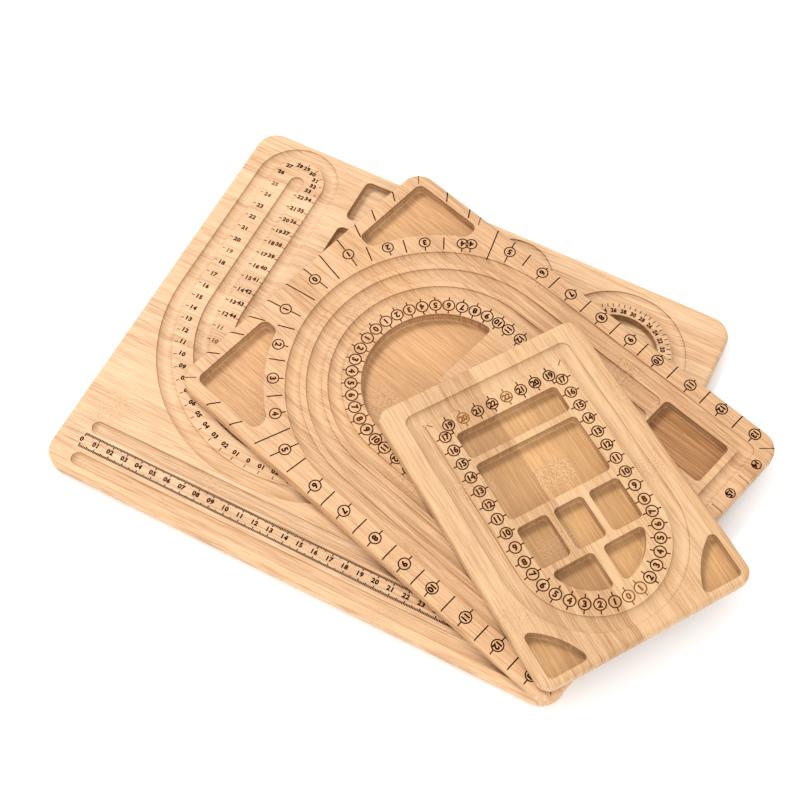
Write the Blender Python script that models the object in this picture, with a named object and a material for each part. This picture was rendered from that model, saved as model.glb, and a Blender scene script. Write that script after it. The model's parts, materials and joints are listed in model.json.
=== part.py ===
"""Set of three bamboo bead design boards, laid one on another and fanned out.

Each board is edge-glued from long bamboo staves and then milled from above: pockets for
beads, measuring channels around numbered scales.  Every stave is its own solid.
Frame: the origin is on the large board's underside at its centre, +X along its long side,
+Z up.  All lengths are in metres.
"""
import math

import bmesh
import bpy
from mathutils import Vector

MM = 0.001

# Boards
THICKNESS = 10.0 * MM
BOARD_GAP = 0.3 * MM          # clearance between boards that lie on each other
GLUE_LINE = 0.3 * MM          # clearance between neighbouring staves
STAVE = 22.8 * MM             # width of one stave
EDGE_CHAMFER = 2.0 * MM
CHANNEL_DEPTH = 2.8 * MM
CHANNEL_SIDE = 2.2 * MM       # how far a channel's floor edge is inside its rim
CUT_ABOVE = 3.0 * MM          # the milling bodies end this far above the board

# Large board: a wide U for necklaces, an oval for bracelets, three trays, two ruler slots
LARGE_LENGTH, LARGE_WIDTH, LARGE_CORNER = 340.0 * MM, 280.0 * MM, 14.0 * MM
U_CENTRE = Vector((-51.8, 5.7)) * MM
U_RADIUS = 78.5 * MM          # centre line of the U's legs and bend
U_LEG_TOP = 108.1 * MM        # y of the centres of the legs' round ends
U_LOOP_OUTER, U_LOOP_INNER = 28.0 * MM, 18.4 * MM
U_SLOT = 4.95 * MM
OVAL_CENTRE_X, OVAL_TOP, OVAL_BOTTOM = 109.4 * MM, 86.4 * MM, -52.0 * MM
OVAL_LOOP_OUTER, OVAL_LOOP_INNER, OVAL_TRAY = 45.0 * MM, 36.0 * MM, 27.3 * MM
TRAY_X = (-88.6 * MM, -21.0 * MM)
TRAY_HEIGHT, TRAY_PITCH, TRAY_TOP, TRAY_COUNT = 32.5 * MM, 40.0 * MM, 131.2 * MM, 3
TRAY_CORNER, TRAY_DEPTH = 4.0 * MM, 6.0 * MM
RULER_SLOT_LENGTH, RULER_SLOT_HALF = 305.0 * MM, 4.2 * MM
RULER_SLOTS_Y = (-130.4 * MM, -107.2 * MM)

# Middle board: three arched channels around a round-topped tray
MIDDLE_AT, MIDDLE_TURN = Vector((25.7, 11.35)) * MM, 74.03
MIDDLE_WIDTH, MIDDLE_CORNER = 219.0 * MM, 13.0 * MM
MIDDLE_TOP, MIDDLE_BOTTOM = 121.4 * MM, -177.6 * MM
ARCH_LOOP_OUTER, ARCH_LOOP_INNER = 96.2 * MM, 87.2 * MM
ARCH_LOOP_FOOT_OUTER, ARCH_LOOP_FOOT_INNER = -167.5 * MM, -159.6 * MM
ARCH_CHANNELS = ((78.5 * MM, 4.8 * MM), (65.8 * MM, 4.3 * MM))
ARCH_LEG_END = -101.0 * MM
DOME_RADIUS, DOME_FOOT = 49.6 * MM, 3.2 * MM
FOOT_TRAYS = 5
FOOT_TRAY_HALF_SPAN, FOOT_TRAY_RIB = 85.0 * MM, 4.2 * MM
FOOT_TRAY_Y = (-155.0 * MM, -107.2 * MM)
WIDE_TRAY_HALF = 49.6 * MM
WIDE_TRAYS_Y = ((-96.0 * MM, -63.0 * MM), (-57.0 * MM, -24.0 * MM))
MIDDLE_SIDE_TRAY_X = (42.5 * MM, 100.8 * MM)
MIDDLE_SIDE_TRAY_Y = (60.7 * MM, 111.4 * MM)
MIDDLE_SIDE_ARC, MIDDLE_SIDE_FILLET = 109.3 * MM, 4.5 * MM
MIDDLE_TRAY_DEPTH = 7.0 * MM

# Small board: one closed channel around a numbered island with seven trays
SMALL_AT, SMALL_TURN = Vector((147.1, -45.1)) * MM, 56.04
SMALL_WIDTH, SMALL_CORNER = 141.0 * MM, 9.0 * MM
SMALL_TOP, SMALL_BOTTOM = 129.3 * MM, -65.3 * MM
SMALL_LOOP_OUTER, SMALL_LOOP_INNER = 57.2 * MM, 47.5 * MM
SMALL_LOOP_HEAD_OUTER, SMALL_LOOP_HEAD_INNER = 117.5 * MM, 107.6 * MM
SMALL_TRAY_HALF = 34.6 * MM
SMALL_ROWS = ((75.2 * MM, 93.5 * MM), (30.6 * MM, 70.7 * MM))
SMALL_SQUARES_Y = (-3.6 * MM, 24.6 * MM)
SMALL_SQUARES_X = ((-34.6 * MM, -14.2 * MM), (-9.9 * MM, 9.9 * MM), (14.2 * MM, 34.6 * MM))
QUARTER_RADIUS, QUARTER_TOP, QUARTER_SIDE = 32.3 * MM, -8.1 * MM, 3.4 * MM
SMALL_SIDE_TRAY = (64.1 * MM, 60.6 * MM)
SMALL_SIDE_ARC_CENTRE, SMALL_SIDE_ARC = Vector((88.0, 76.0)) * MM, 52.2 * MM
SMALL_TRAY_DEPTH = 6.5 * MM
TRAY_FILLET = 3.0 * MM

# Where the joints between staves fall, measured across each board
LARGE_SEAMS = [STAVE * (k + 0.5) for k in range(-6, 6)]
MIDDLE_SEAMS = [STAVE * k for k in range(-4, 5)]
SMALL_SEAMS = [STAVE * k - 5.4 * MM for k in range(-2, 4)]

BAMBOO = {"large": (0.80, 0.60, 0.36), "middle": (0.72, 0.49, 0.27), "small": (0.76, 0.54, 0.31)}


def arc(cx, cy, radius, start, end, steps):
    """Points on an arc from start to end degrees, both ends included."""
    angles = [math.radians(start + (end - start) * k / steps) for k in range(steps + 1)]
    return [(cx + radius * math.cos(a), cy + radius * math.sin(a)) for a in angles]


def rounded_box(x0, x1, y0, y1, radius, inset=0.0, steps=4):
    x0, x1, y0, y1 = x0 + inset, x1 - inset, y0 + inset, y1 - inset
    r = max(radius - inset, 0.2 * MM)
    return (arc(x1 - r, y1 - r, r, 0, 90, steps) + arc(x0 + r, y1 - r, r, 90, 180, steps)
            + arc(x0 + r, y0 + r, r, 180, 270, steps) + arc(x1 - r, y0 + r, r, 270, 360, steps))


def stadium(cx, top, bottom, radius, steps=16):
    """Upright oval with straight sides."""
    return arc(cx, top, radius, 0, 180, steps) + arc(cx, bottom, radius, 180, 360, steps)


def lying_stadium(y, half_length, radius, steps=8):
    x = half_length - radius
    return arc(x, y, radius, -90, 90, steps) + arc(-x, y, radius, 90, 270, steps)


def u_band(centre, radius, leg_end, half, ends_up, bend_steps=24, end_steps=8):
    """Outline of a band of the given half width along a U (legs up) or an arch (legs down)."""
    cx, cy = centre
    outer = arc(cx, cy, radius + half, 180, 360, bend_steps)
    right_end = arc(cx + radius, leg_end, half, 0, 180, end_steps)
    inner = arc(cx, cy, radius - half, 360, 180, bend_steps)
    left_end = arc(cx - radius, leg_end, half, 0, 180, end_steps)
    points = outer + right_end + inner + left_end
    if ends_up:
        return points
    return [(x, 2.0 * cy - y) for x, y in reversed(points)]


def arch_outline(half, foot, corner, steps=24):
    """Half circle on top of straight sides, with a square foot."""
    return (arc(0.0, 0.0, half, 0, 180, steps) + arc(-half + corner, foot + corner, corner, 180, 270, 3)
            + arc(half - corner, foot + corner, corner, 270, 360, 3))


def tub_outline(half, head, corner, steps=24):
    """Half circle at the bottom, straight sides and a square head."""
    return [(x, -y) for x, y in reversed(arch_outline(half, -head, corner, steps))]


def side_tray_outside(xs, ys, radius, f):
    """Corner tray inside a box, outside a circle about the origin, all corners rounded by f."""
    left, right = xs[0] + f, xs[1] - f
    low, high = ys[0] + f, ys[1] - f
    tip_y = math.sqrt((radius + f) ** 2 - left ** 2)
    tip_x = math.sqrt((radius + f) ** 2 - low ** 2)
    left_angle = math.degrees(math.atan2(tip_y, left))
    low_angle = math.degrees(math.atan2(low, tip_x))
    return (arc(right, high, f, 0, 90, 4) + arc(left, high, f, 90, 180, 4)
            + arc(left, tip_y, f, 180, 180 + left_angle, 3)
            + arc(0.0, 0.0, radius, left_angle, low_angle, 8)[1:-1]
            + arc(tip_x, low, f, 180 + low_angle, 270, 3) + arc(right, low, f, 270, 360, 4))


def side_tray_inside(a, b, centre, radius):
    """Corner tray between the lines x = a and y = b and inside a circle beyond the corner."""
    f = TRAY_FILLET
    side_y = centre[1] - math.sqrt((radius - f) ** 2 - (centre[0] - a + f) ** 2)
    top_x = centre[0] - math.sqrt((radius - f) ** 2 - (centre[1] - b + f) ** 2)
    side_angle = math.degrees(math.atan2(side_y - centre[1], a - f - centre[0])) % 360.0
    top_angle = math.degrees(math.atan2(b - f - centre[1], top_x - centre[0])) % 360.0
    return (arc(a - f, b - f, f, 0, 90, 3) + arc(top_x, b - f, f, 90, top_angle, 4)
            + arc(centre[0], centre[1], radius, top_angle, side_angle, 8)[1:-1]
            + arc(a - f, side_y, f, side_angle, 360, 4))


def quarter_tray():
    """Lower right quarter of the small board's round foot."""
    f = 2.5 * MM
    top, side, radius = QUARTER_TOP, QUARTER_SIDE, QUARTER_RADIUS
    right_x = math.sqrt((radius - f) ** 2 - (top - f) ** 2)
    right_angle = math.degrees(math.atan2(top - f, right_x))
    low_y = -math.sqrt((radius - f) ** 2 - (side + f) ** 2)
    low_angle = math.degrees(math.atan2(low_y, side + f))
    return (arc(right_x, top - f, f, right_angle, 90, 4) + arc(side + f, top - f, f, 90, 180, 3)
            + arc(side + f, low_y, f, 180, 360 + low_angle, 4)
            + arc(0.0, 0.0, radius, low_angle, right_angle, 8)[1:-1])


def dome_tray():
    """Half circle tray with a straight foot."""
    f = TRAY_FILLET
    x = math.sqrt((DOME_RADIUS - f) ** 2 - (DOME_FOOT + f) ** 2)
    angle = math.degrees(math.atan2(DOME_FOOT + f, x))
    return (arc(0.0, 0.0, DOME_RADIUS, angle, 180 - angle, 20)
            + arc(-x, DOME_FOOT + f, f, 180 - angle, 270, 4)[1:]
            + arc(x, DOME_FOOT + f, f, 270, 360 + angle, 4)[:-1])


def mirrored(points):
    return [(-x, y) for x, y in reversed(points)]


def flipped(points):
    return [(x, -y) for x, y in reversed(points)]


def add_prism(bm, levels):
    """Closed solid lofted through (z, outline) levels, lowest first; outlines run anticlockwise."""
    rings = [[bm.verts.new((x, y, z)) for x, y in points] for z, points in levels]
    count = len(rings[0])
    for low, high in zip(rings, rings[1:]):
        for k in range(count):
            n = (k + 1) % count
            bm.faces.new((low[k], low[n], high[n], high[k]))
    bm.faces.new(list(reversed(rings[0])))
    bm.faces.new(rings[-1])


def add_ring(bm, levels):
    """Closed ring lofted through (z, outer outline, inner outline) levels, lowest first."""
    outers = [[bm.verts.new((x, y, z)) for x, y in outer] for z, outer, inner in levels]
    inners = [[bm.verts.new((x, y, z)) for x, y in inner] for z, outer, inner in levels]
    count = len(outers[0])
    for k in range(count):
        n = (k + 1) % count
        for low in range(len(levels) - 1):
            high = low + 1
            bm.faces.new((outers[low][k], outers[low][n], outers[high][n], outers[high][k]))
            bm.faces.new((inners[low][n], inners[low][k], inners[high][k], inners[high][n]))
        bm.faces.new((outers[0][n], outers[0][k], inners[0][k], inners[0][n]))
        bm.faces.new((outers[-1][k], outers[-1][n], inners[-1][n], inners[-1][k]))


def add_tray(bm, points, depth):
    add_prism(bm, [(THICKNESS - depth, points), (THICKNESS + CUT_ABOVE, points)])


def add_slot(bm, outline):
    """Open ended channel; outline(inset) gives its rim moved inwards."""
    add_prism(bm, [(THICKNESS - CHANNEL_DEPTH, outline(CHANNEL_SIDE)),
                   (THICKNESS - 0.4 * CHANNEL_DEPTH, outline(0.2 * CHANNEL_SIDE)),
                   (THICKNESS, outline(0.0)), (THICKNESS + CUT_ABOVE, outline(0.0))])


def add_loop(bm, outer, inner):
    """Closed channel; outer(inset) and inner(inset) give its two rims moved into the channel."""
    add_ring(bm, [(THICKNESS - CHANNEL_DEPTH, outer(CHANNEL_SIDE), inner(CHANNEL_SIDE)),
                  (THICKNESS - 0.4 * CHANNEL_DEPTH, outer(0.2 * CHANNEL_SIDE), inner(0.2 * CHANNEL_SIDE)),
                  (THICKNESS, outer(0.0), inner(0.0)),
                  (THICKNESS + CUT_ABOVE, outer(0.0), inner(0.0))])


def mill_large(bm):
    def band(half):
        return u_band(U_CENTRE, U_RADIUS, U_LEG_TOP, half, True)

    def oval(radius):
        return stadium(OVAL_CENTRE_X, OVAL_TOP, OVAL_BOTTOM, radius)

    add_loop(bm, lambda i: band(U_LOOP_OUTER - i), lambda i: band(U_LOOP_INNER + i))
    add_slot(bm, lambda i: band(U_SLOT - i))
    add_loop(bm, lambda i: oval(OVAL_LOOP_OUTER - i), lambda i: oval(OVAL_LOOP_INNER + i))
    add_tray(bm, oval(OVAL_TRAY), TRAY_DEPTH)
    for k in range(TRAY_COUNT):
        top = TRAY_TOP - k * TRAY_PITCH
        add_tray(bm, rounded_box(*TRAY_X, top - TRAY_HEIGHT, top, TRAY_CORNER), TRAY_DEPTH)
    for y in RULER_SLOTS_Y:
        add_slot(bm, lambda i: lying_stadium(y, RULER_SLOT_LENGTH / 2 - i, RULER_SLOT_HALF - i))


def mill_middle(bm):
    add_loop(bm, lambda i: arch_outline(ARCH_LOOP_OUTER - i, ARCH_LOOP_FOOT_OUTER + i, 3 * MM),
             lambda i: arch_outline(ARCH_LOOP_INNER + i, ARCH_LOOP_FOOT_INNER - i, 1.5 * MM))
    for radius, half in ARCH_CHANNELS:
        add_slot(bm, lambda i: u_band((0.0, 0.0), radius, -ARCH_LEG_END, half - i, False))
    add_tray(bm, dome_tray(), MIDDLE_TRAY_DEPTH)
    for low, high in WIDE_TRAYS_Y:
        add_tray(bm, rounded_box(-WIDE_TRAY_HALF, WIDE_TRAY_HALF, low, high, TRAY_FILLET), MIDDLE_TRAY_DEPTH)
    pitch = (2 * FOOT_TRAY_HALF_SPAN + FOOT_TRAY_RIB) / FOOT_TRAYS
    for k in range(FOOT_TRAYS):
        x = -FOOT_TRAY_HALF_SPAN + k * pitch
        add_tray(bm, rounded_box(x, x + pitch - FOOT_TRAY_RIB, *FOOT_TRAY_Y, TRAY_FILLET), MIDDLE_TRAY_DEPTH)
    corner = side_tray_outside(MIDDLE_SIDE_TRAY_X, MIDDLE_SIDE_TRAY_Y, MIDDLE_SIDE_ARC, MIDDLE_SIDE_FILLET)
    add_tray(bm, corner, MIDDLE_TRAY_DEPTH)
    add_tray(bm, mirrored(corner), MIDDLE_TRAY_DEPTH)


def mill_small(bm):
    add_loop(bm, lambda i: tub_outline(SMALL_LOOP_OUTER - i, SMALL_LOOP_HEAD_OUTER - i, 4 * MM),
             lambda i: tub_outline(SMALL_LOOP_INNER + i, SMALL_LOOP_HEAD_INNER + i, 1.5 * MM))
    for low, high in SMALL_ROWS:
        add_tray(bm, rounded_box(-SMALL_TRAY_HALF, SMALL_TRAY_HALF, low, high, TRAY_FILLET), SMALL_TRAY_DEPTH)
    for left, right in SMALL_SQUARES_X:
        add_tray(bm, rounded_box(left, right, *SMALL_SQUARES_Y, TRAY_FILLET), SMALL_TRAY_DEPTH)
    quarter = quarter_tray()
    add_tray(bm, quarter, SMALL_TRAY_DEPTH)
    add_tray(bm, mirrored(quarter), SMALL_TRAY_DEPTH)
    corner = flipped(side_tray_inside(*SMALL_SIDE_TRAY, SMALL_SIDE_ARC_CENTRE, SMALL_SIDE_ARC))
    add_tray(bm, corner, SMALL_TRAY_DEPTH)
    add_tray(bm, mirrored(corner), SMALL_TRAY_DEPTH)


def mesh_object(name, bm, parent):
    mesh = bpy.data.meshes.new(name)
    bmesh.ops.recalc_face_normals(bm, faces=bm.faces)
    bm.to_mesh(mesh)
    bm.free()
    obj = bpy.data.objects.new(name, mesh)
    bpy.context.scene.collection.objects.link(obj)
    obj.parent = parent
    return obj


def guide(obj):
    """Keep a milling body out of the finished object."""
    obj.hide_render = True
    obj.display_type = "WIRE"
    return obj


def bamboo(name, colour, shade):
    material = bpy.data.materials.new(name)
    material.use_nodes = True
    shader = material.node_tree.nodes["Principled BSDF"]
    shader.inputs["Base Color"].default_value = [min(1.0, c * shade) for c in colour] + [1.0]
    shader.inputs["Roughness"].default_value = 0.55
    shader.inputs["Metallic"].default_value = 0.0
    return material


def add_boolean(obj, operation, other):
    modifier = obj.modifiers.new(operation.title(), "BOOLEAN")
    modifier.operation = operation
    modifier.solver = "EXACT"
    modifier.object = other


def make_board(name, place, turn, level, extent, corner, seams, along_x, mill):
    """One board: its staves, cut to the board's outline and milled together."""
    empty = bpy.data.objects.new(name + "_board", None)
    bpy.context.scene.collection.objects.link(empty)
    empty.location = (place[0], place[1], level * (THICKNESS + BOARD_GAP))
    empty.rotation_euler = (0.0, 0.0, math.radians(turn))

    x0, x1, y0, y1 = extent
    outline = bmesh.new()
    steps = [(0.0, EDGE_CHAMFER), (EDGE_CHAMFER, 0.0), (THICKNESS - EDGE_CHAMFER, 0.0), (THICKNESS, EDGE_CHAMFER)]
    add_prism(outline, [(z, rounded_box(x0, x1, y0, y1, corner, inset, 5)) for z, inset in steps])
    outline = guide(mesh_object(name + "_outline", outline, empty))
    milling = bmesh.new()
    mill(milling)
    milling = guide(mesh_object(name + "_milling", milling, empty))

    low, high = (y0, y1) if along_x else (x0, x1)
    edges = [low - 5 * MM] + list(seams) + [high + 5 * MM]
    for k, (start, end) in enumerate(zip(edges, edges[1:])):
        start, end = start + GLUE_LINE / 2, end - GLUE_LINE / 2
        box = (x0 - 5 * MM, x1 + 5 * MM, start, end) if along_x else (start, end, y0 - 5 * MM, y1 + 5 * MM)
        bm = bmesh.new()
        bx0, bx1, by0, by1 = box
        corners = [(bx0, by0), (bx1, by0), (bx1, by1), (bx0, by1)]
        add_prism(bm, [(-5 * MM, corners), (THICKNESS + 5 * MM, corners)])
        stave = mesh_object("%s_stave_%02d" % (name, k + 1), bm, empty)
        add_boolean(stave, "INTERSECT", outline)
        add_boolean(stave, "DIFFERENCE", milling)
        shade = 1.0 + 0.05 * math.sin(2.3 * k + len(name))
        stave.data.materials.append(bamboo(stave.name, BAMBOO[name], shade))


for old in list(bpy.data.objects):
    bpy.data.objects.remove(old, do_unlink=True)

make_board("large", (0.0, 0.0), 0.0, 0,
           (-LARGE_LENGTH / 2, LARGE_LENGTH / 2, -LARGE_WIDTH / 2, LARGE_WIDTH / 2),
           LARGE_CORNER, LARGE_SEAMS, True, mill_large)
make_board("middle", MIDDLE_AT, MIDDLE_TURN, 1,
           (-MIDDLE_WIDTH / 2, MIDDLE_WIDTH / 2, MIDDLE_BOTTOM, MIDDLE_TOP),
           MIDDLE_CORNER, MIDDLE_SEAMS, False, mill_middle)
make_board("small", SMALL_AT, SMALL_TURN, 2,
           (-SMALL_WIDTH / 2, SMALL_WIDTH / 2, SMALL_BOTTOM, SMALL_TOP),
           SMALL_CORNER, SMALL_SEAMS, False, mill_small)
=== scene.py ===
"""Looks of the set of three bamboo bead design boards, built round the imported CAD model.

Each board is one milled slab with rounded rims, sawn into the same staves as the CAD model, so
every stave is a piece of its own that replaces its CAD node.  The burnt scales are thin inlays.
The scene is in metres.  Outlines, milling bodies and scales are drawn in millimetres in a board's
own frame, with the origin at the large board's centre or at the centre of the other boards' arch.
"""
import json
import math
import random
from collections import namedtuple

import bmesh
import bpy
from mathutils import Matrix, Vector

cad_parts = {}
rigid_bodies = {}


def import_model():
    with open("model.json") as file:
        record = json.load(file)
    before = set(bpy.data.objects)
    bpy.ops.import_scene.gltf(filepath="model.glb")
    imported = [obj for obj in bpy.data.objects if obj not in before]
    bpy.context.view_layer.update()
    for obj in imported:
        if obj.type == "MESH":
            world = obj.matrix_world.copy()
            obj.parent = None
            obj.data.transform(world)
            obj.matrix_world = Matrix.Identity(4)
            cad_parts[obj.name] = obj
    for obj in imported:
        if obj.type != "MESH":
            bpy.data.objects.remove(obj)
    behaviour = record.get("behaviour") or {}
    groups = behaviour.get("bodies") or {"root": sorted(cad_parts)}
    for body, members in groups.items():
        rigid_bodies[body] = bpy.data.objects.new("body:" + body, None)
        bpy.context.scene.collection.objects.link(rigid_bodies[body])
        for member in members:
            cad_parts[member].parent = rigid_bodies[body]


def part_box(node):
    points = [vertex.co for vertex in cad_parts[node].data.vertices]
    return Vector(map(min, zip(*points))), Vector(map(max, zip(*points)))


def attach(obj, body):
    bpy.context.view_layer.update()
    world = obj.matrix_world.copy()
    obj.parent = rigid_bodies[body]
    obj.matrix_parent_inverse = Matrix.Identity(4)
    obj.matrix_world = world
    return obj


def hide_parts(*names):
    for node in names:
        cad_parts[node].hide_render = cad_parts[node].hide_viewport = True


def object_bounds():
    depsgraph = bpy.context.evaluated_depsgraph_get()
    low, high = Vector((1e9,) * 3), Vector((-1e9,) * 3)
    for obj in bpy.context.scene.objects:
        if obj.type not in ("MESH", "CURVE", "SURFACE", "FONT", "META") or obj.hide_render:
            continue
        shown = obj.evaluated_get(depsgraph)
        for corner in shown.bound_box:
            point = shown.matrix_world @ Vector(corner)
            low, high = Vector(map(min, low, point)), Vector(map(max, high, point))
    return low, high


MM = 0.001
THICKNESS = 10.0 * MM
SURFACE = THICKNESS / MM                       # the top face, in millimetres
STAVE = 22.8 * MM
TOP_ROUND, BOTTOM_ROUND = 3.0 * MM, 2.2 * MM   # how far the boards' edges are rounded over
RIM_ROUND = 0.5 * MM                           # round-over of a tray's rim
FLOOR_FILLET = 1.3 * MM
ABOVE = 3.0 * MM                               # milling bodies end this far above the board
MARK_ABOVE, MARK_BELOW = 0.03 * MM, 0.10 * MM  # burnt marks stand this far out of and into the wood

# Depths in millimetres; a channel has a short steep wall above a shallow round bottom
TRAY_DEPTH = {"large": 6.0, "middle": 7.0, "small": 6.5}
CHANNEL_DEPTH, CHANNEL_WALL, CHANNEL_DRAFT = 2.8, 1.0, 0.15

# Place of the origin and turn in degrees, extent x0 x1 y0 y1, corner radius, grain axis, seams
Board = namedtuple("Board", "place turn extent corner grain seams")
BOARDS = {
    "large": Board((0.0, 0.0), 0.0, (-170.0, 170.0, -140.0, 140.0), 14.0, "x",
                   [STAVE * (k + 0.5) for k in range(-6, 6)]),
    "middle": Board((25.7, 11.35), 74.03, (-109.5, 109.5, -177.6, 121.4), 13.0, "y",
                    [STAVE * k for k in range(-4, 5)]),
    "small": Board((147.1, -45.1), 56.04, (-70.5, 70.5, -65.3, 129.3), 9.0, "y",
                   [STAVE * k - 5.4 * MM for k in range(-2, 4)]),
}

# Large board: bend of the U with its radius and the end of its legs, the oval's ends, the ruler's zero
U_X, U_Y, U_RADIUS, U_LEG_END = -51.8, 5.7, 78.5, 108.1
OVAL_X, OVAL_TOP, OVAL_BOTTOM = 109.4, 86.4, -52.0
RULER_X, RULER_Y = -152.6, -118.3

# Light and camera, in metres
WORLD_STRENGTH = 1.22
Light = namedtuple("Light", "name place size power colour")
LIGHTS = [Light("key", (-2.10, 0.90, 2.9), 1.2, 112.0, (1.0, 0.985, 0.96)),
          Light("fill", (1.0, -2.4, 0.9), 1.8, 34.0, (1.0, 0.98, 0.95))]
CAMERA_PLACE, CAMERA_FORWARD = (0.18993, -0.38469, 0.80279), (-0.20531, 0.42179, -0.88314)
CAMERA_ROLL, CAMERA_LENS, CAMERA_SENSOR = 1.248, 65.67, 36.0


# ---------------------------------------------------------------- outlines, in millimetres

def arc(cx, cy, radius, start, end, steps):
    """Points on an arc from start to end degrees, both ends included."""
    angles = [math.radians(start + (end - start) * k / steps) for k in range(steps + 1)]
    return [(cx + radius * math.cos(a), cy + radius * math.sin(a)) for a in angles]


def rounded_box(x0, x1, y0, y1, radius, steps=10):
    r = radius
    return (arc(x1 - r, y1 - r, r, 0, 90, steps) + arc(x0 + r, y1 - r, r, 90, 180, steps)
            + arc(x0 + r, y0 + r, r, 180, 270, steps) + arc(x1 - r, y0 + r, r, 270, 360, steps))


def stadium(cx, top, bottom, radius, steps=48):
    return arc(cx, top, radius, 0, 180, steps) + arc(cx, bottom, radius, 180, 360, steps)


def lying_stadium(y, half_length, radius, steps=14):
    x = half_length - radius
    return arc(x, y, radius, -90, 90, steps) + arc(-x, y, radius, 90, 270, steps)


def u_band(cx, cy, radius, leg_end, half, bend_steps=64, end_steps=18):
    """Outline of a band of the given half width along a U whose legs point up."""
    return (arc(cx, cy, radius + half, 180, 360, bend_steps)
            + arc(cx + radius, leg_end, half, 0, 180, end_steps)
            + arc(cx, cy, radius - half, 360, 180, bend_steps)
            + arc(cx - radius, leg_end, half, 0, 180, end_steps))


def flipped(points):
    return [(x, -y) for x, y in reversed(points)]


def mirrored(points):
    return [(-x, y) for x, y in reversed(points)]


def arch_outline(half, foot, corner, steps=72):
    """Half circle on top of straight sides, with a square foot."""
    return (arc(0, 0, half, 0, 180, steps) + arc(-half + corner, foot + corner, corner, 180, 270, 6)
            + arc(half - corner, foot + corner, corner, 270, 360, 6))


def side_tray_outside(xs, ys, radius, f):
    """Corner tray inside a box, outside a circle about the origin, all corners rounded by f."""
    left, right = xs[0] + f, xs[1] - f
    low, high = ys[0] + f, ys[1] - f
    tip_y = math.sqrt((radius + f) ** 2 - left ** 2)
    tip_x = math.sqrt((radius + f) ** 2 - low ** 2)
    left_angle = math.degrees(math.atan2(tip_y, left))
    low_angle = math.degrees(math.atan2(low, tip_x))
    return (arc(right, high, f, 0, 90, 8) + arc(left, high, f, 90, 180, 8)
            + arc(left, tip_y, f, 180, 180 + left_angle, 6)
            + arc(0, 0, radius, left_angle, low_angle, 20)[1:-1]
            + arc(tip_x, low, f, 180 + low_angle, 270, 6) + arc(right, low, f, 270, 360, 8))


def side_tray_inside(a, b, cx, cy, radius, f):
    """Corner tray between the lines x = a and y = b and inside a circle beyond the corner."""
    side_y = cy - math.sqrt((radius - f) ** 2 - (cx - a + f) ** 2)
    top_x = cx - math.sqrt((radius - f) ** 2 - (cy - b + f) ** 2)
    side_angle = math.degrees(math.atan2(side_y - cy, a - f - cx)) % 360.0
    top_angle = math.degrees(math.atan2(b - f - cy, top_x - cx)) % 360.0
    return (arc(a - f, b - f, f, 0, 90, 8) + arc(top_x, b - f, f, 90, top_angle, 8)
            + arc(cx, cy, radius, top_angle, side_angle, 20)[1:-1]
            + arc(a - f, side_y, f, side_angle, 360, 8))


def quarter_tray(top=-8.1, side=3.4, radius=32.3, f=2.8):
    """Lower right quarter of the small board's round foot."""
    right_x = math.sqrt((radius - f) ** 2 - (top - f) ** 2)
    right_angle = math.degrees(math.atan2(top - f, right_x))
    low_y = -math.sqrt((radius - f) ** 2 - (side + f) ** 2)
    low_angle = math.degrees(math.atan2(low_y, side + f))
    return (arc(right_x, top - f, f, right_angle, 90, 8) + arc(side + f, top - f, f, 90, 180, 6)
            + arc(side + f, low_y, f, 180, 360 + low_angle, 8)
            + arc(0, 0, radius, low_angle, right_angle, 20)[1:-1])


def dome_tray(radius, foot=3.2, f=3.0):
    """Half circle tray with a straight foot."""
    x = math.sqrt((radius - f) ** 2 - (foot + f) ** 2)
    angle = math.degrees(math.atan2(foot + f, x))
    return (arc(0, 0, radius, angle, 180 - angle, 56) + arc(-x, foot + f, f, 180 - angle, 270, 6)[1:]
            + arc(x, foot + f, f, 270, 360 + angle, 6)[:-1])


def inset_outline(points, distance):
    """The anticlockwise outline with every point moved inwards, or outwards if negative."""
    count, moved = len(points), []
    for k in range(count):
        before, here, after = Vector(points[k - 1]), Vector(points[k]), Vector(points[(k + 1) % count])
        first, second = (here - before).normalized(), (after - here).normalized()
        bisector = Vector((-first.y - second.y, first.x + second.x))
        bisector = bisector.normalized()
        stretch = max(0.5, Vector((-first.y, first.x)).dot(bisector))
        moved.append(tuple(here + bisector * (distance / stretch)))
    return moved


# ---------------------------------------------------------------- milling bodies, in millimetres

def rim_levels():
    """(height, inset) of a rim's round-over, ending clear above the surface."""
    r = RIM_ROUND / MM
    turns = [math.radians(a) for a in (0, 22, 44, 66)]
    levels = [(SURFACE - r + r * math.sin(a), -r * (1 - math.cos(a))) for a in turns]
    return levels + [(SURFACE + 0.06, -r * 0.85), (SURFACE + ABOVE / MM, -r * 0.85)]


def tray_levels(depth):
    """(height, inset) of a tray with a filleted floor and a rounded rim."""
    f = FLOOR_FILLET / MM
    turns = [math.radians(a) for a in (0, 18, 36, 54, 72, 90)]
    fillet = [(SURFACE - depth + f * (1 - math.cos(a)), f * (1 - math.sin(a))) for a in turns]
    return fillet + rim_levels()


def pipe_levels(half):
    """(height, inset) of a channel of the given half width."""
    reach, low = half - CHANNEL_DRAFT, CHANNEL_DEPTH - CHANNEL_WALL
    r = (reach * reach + low * low) / (2 * low)
    rim = math.asin(reach / r)
    turns = [rim * part for part in (0.06, 0.2, 0.35, 0.5, 0.65, 0.8, 0.92, 1.0)]
    pipe = [(SURFACE - CHANNEL_DEPTH + r * (1 - math.cos(a)), half - r * math.sin(a)) for a in turns]
    return pipe + [(SURFACE - 0.35, 0.06), (SURFACE - 0.12, -0.04), (SURFACE + 0.06, -0.20),
                   (SURFACE + ABOVE / MM, -0.20)]


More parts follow.
